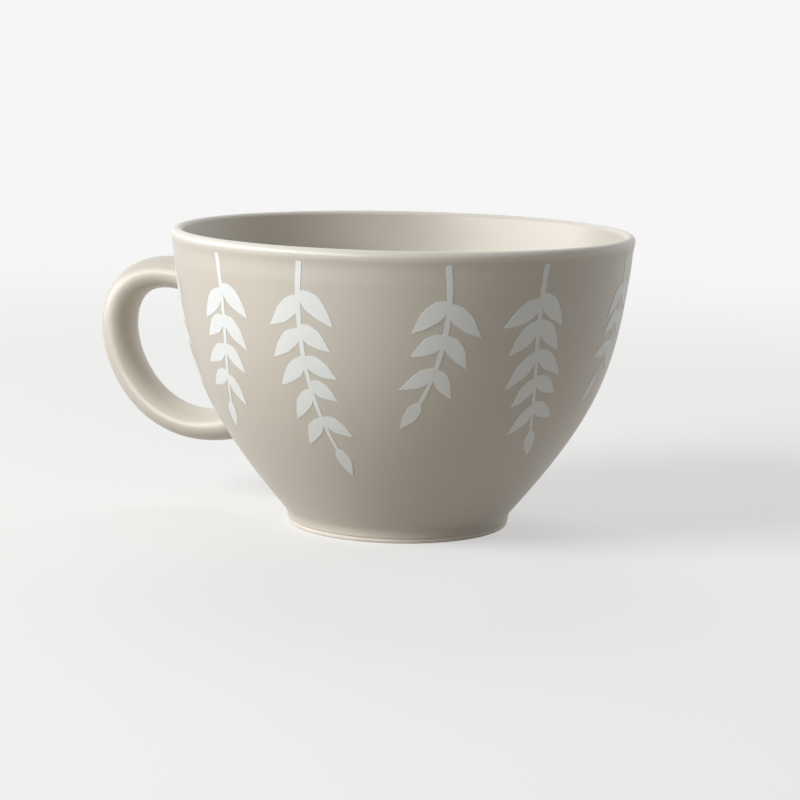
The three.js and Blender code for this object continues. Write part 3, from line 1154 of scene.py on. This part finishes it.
@dataclass(frozen=True)
class Lamp:
    """A large soft lamp turned to the mug, at an azimuth, an elevation and a distance."""

    name: str
    azimuth: float
    elevation: float
    distance: float
    width: float
    height: float
    power: float
    kind: LampKind = LampKind.LIGHT

    def build(self) -> None:
        """Hangs the lamp."""
        data = bpy.data.lights.new(self.name, "AREA")
        data.shape = self.kind.value
        data.size = self.width * MM
        data.size_y = self.height * MM
        data.energy = self.power
        made = bpy.data.objects.new(self.name, data)
        back = towards(self.azimuth, self.elevation)
        made.location = back * self.distance * MM
        made.rotation_mode = "QUATERNION"
        made.rotation_quaternion = (-back).to_track_quat("-Z", "Y")
        made.visible_camera = False
        made.visible_diffuse = self.kind is LampKind.LIGHT
        made.visible_glossy = self.kind is LampKind.WINDOW
        bpy.context.scene.collection.objects.link(made)


@dataclass(frozen=True)
class Studio:
    """Pale floor, soft light and camera."""

    azimuth: float = 22.0
    elevation: float = 4.96
    distance: float = 600.0
    look_height: float = 76.8
    dip: float = 4.257  # how far the camera is turned down from the line to that height
    roll: float = 1.2
    lens: float = 105.18
    floor_reach: float = 6000.0
    floor_sides: int = 96
    shadow_reach: float = 260.0  # the floor fades into the white around it from here on
    fade_reach: float = 700.0
    floor_colour: str = "#F1F1EF"
    floor_bounce: str = "#BAB4AC"  # what the floor throws back onto the mug
    floor_white: float = 0.5  # share of the background's white in the floor next to the mug
    white: float = 0.92  # brightness of the background to the camera
    fill: float = 0.21  # brightness of the soft light from all round
    lamps: tuple[Lamp, ...] = (
        Lamp("key", azimuth=-41, elevation=30, distance=1100, width=620, height=620, power=11.1),
        Lamp("bounce", azimuth=152, elevation=14, distance=1100, width=900, height=900, power=3.8),
        Lamp("backdrop", azimuth=205, elevation=40, distance=1300, width=800, height=800, power=4.5),
        Lamp(
            "window",
            azimuth=-48,
            elevation=10,
            distance=1100,
            width=2600,
            height=800,
            power=36,
            kind=LampKind.WINDOW,
        ),
    )

    def camera(self) -> None:
        """Places the camera: on a line to the lip's middle, then turned down and rolled."""
        back = towards(self.azimuth, self.elevation)
        right = Vector((0, 0, 1)).cross(back).normalized()
        up = back.cross(right)
        dip, roll = math.radians(self.dip), math.radians(self.roll)
        back_down = back * math.cos(dip) + up * math.sin(dip)
        up_down = back_down.cross(right)
        turned_right = right * math.cos(roll) + up_down * math.sin(roll)
        turned_up = up_down * math.cos(roll) - right * math.sin(roll)
        data = bpy.data.cameras.new("camera")
        data.lens = self.lens
        made = bpy.data.objects.new("camera", data)
        place = Matrix((turned_right, turned_up, back_down)).transposed().to_4x4()
        place.translation = (Vector((0, 0, self.look_height)) + back * self.distance) * MM
        made.matrix_world = place
        bpy.context.scene.collection.objects.link(made)
        bpy.context.scene.camera = made

    def seen_directly(self, tree: NodeTree) -> NodeSocket:
        """Adds nodes that give 1 where the camera, a reflection or a clear piece looks, and 0 for soft light.

        Args:
            tree: Node tree that takes them.

        Returns:
            The output.
        """
        path = add_node(tree, "ShaderNodeLightPath")
        seen = path.outputs["Is Camera Ray"]
        for ray in ("Is Glossy Ray", "Is Transmission Ray"):
            either = add_node(tree, "ShaderNodeMath", {0: seen, 1: path.outputs[ray]}, operation="MAXIMUM")
            seen = either.outputs["Value"]
        return seen

    def world(self) -> None:
        """Sets the soft light from all round and the white that the camera sees behind the floor."""
        world = bpy.data.worlds.new("studio")
        world.use_nodes = True
        tree = world.node_tree
        tree.nodes.clear()
        strength = add_node(
            tree,
            "ShaderNodeMapRange",
            {"Value": self.seen_directly(tree), "To Min": self.fill, "To Max": self.white},
        )
        light = add_node(
            tree,
            "ShaderNodeBackground",
            {"Color": linear("#FFFFFF"), "Strength": strength.outputs["Result"]},
        )
        add_node(tree, "ShaderNodeOutputWorld", {"Surface": light.outputs["Background"]})
        bpy.context.scene.world = world

    def floor(self) -> None:
        """Lays a large flat disc under the mug. It fades into the background's white away from the mug."""
        angle = np.linspace(0, 2 * math.pi, self.floor_sides, endpoint=False)
        rim = self.floor_reach * np.stack([np.cos(angle), np.sin(angle), np.zeros_like(angle)], axis=-1)
        mesh = bpy.data.meshes.new("floor")
        mesh.from_pydata(rim * MM, [], [list(range(self.floor_sides))])
        material, tree = new_material("pale_paper_floor")
        place = add_node(tree, "ShaderNodeTexCoord").outputs["Object"]
        away = add_node(tree, "ShaderNodeVectorMath", {0: place}, operation="LENGTH")
        faded = add_node(
            tree,
            "ShaderNodeMapRange",
            {
                "Value": away.outputs["Value"],
                "From Min": self.shadow_reach * MM,
                "From Max": self.fade_reach * MM,
                "To Min": self.floor_white,
            },
            interpolation_type="SMOOTHSTEP",
        )
        seen = self.seen_directly(tree)
        share = add_node(tree, "ShaderNodeMath", {0: faded.outputs["Result"], 1: seen}, operation="MULTIPLY")
        colour = add_node(
            tree,
            "ShaderNodeMix",
            {MIX_SHARE: seen, MIX_FIRST: linear(self.floor_bounce), MIX_SECOND: linear(self.floor_colour)},
            data_type="RGBA",
        )
        paper = add_node(tree, "ShaderNodeBsdfDiffuse", {"Color": colour.outputs[MIX_RESULT]})
        white = add_node(tree, "ShaderNodeEmission", {"Strength": self.white})
        mixed = add_node(
            tree,
            "ShaderNodeMixShader",
            {0: share.outputs["Value"], 1: paper.outputs["BSDF"], 2: white.outputs["Emission"]},
        )
        add_node(tree, "ShaderNodeOutputMaterial", {"Surface": mixed.outputs["Shader"]})
        mesh.materials.append(material)
        made = bpy.data.objects.new("floor", mesh)
        bpy.context.scene.collection.objects.link(made)

    def build(self) -> None:
        """Sets up the floor, the light, the camera and a plain view transform."""
        self.camera()
        self.world()
        self.floor()
        for lamp in self.lamps:
            lamp.build()
        bpy.context.scene.view_settings.view_transform = "Standard"


def corners(box: Sequence[Vector]) -> list[list[float]]:
    """Lowest and highest corner of a box as plain numbers."""
    return [list(corner) for corner in box]


def main() -> None:
    """Builds the studio, then the mug's pieces in the order in which they are made."""
    logging.basicConfig(level=logging.INFO, format="%(name)s: %(message)s")
    Studio().build()
    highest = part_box("outside_glaze")[1]
    wall = CupWall(height=highest.z / MM, rim_radius=highest.x / MM)
    glaze = SatinGlaze().material()
    clay = FiredClay().material()
    slip = FiredClay(name="casting_slip_fired", base="#E9E2D6", shade="#DCD4C6").material()
    Cup(wall).build(glaze, clay)
    Handle(wall).build(glaze, clay, slip)
    LeafPrint(wall).build(WhiteTransfer().material())


if __name__ == "__main__":
    main()
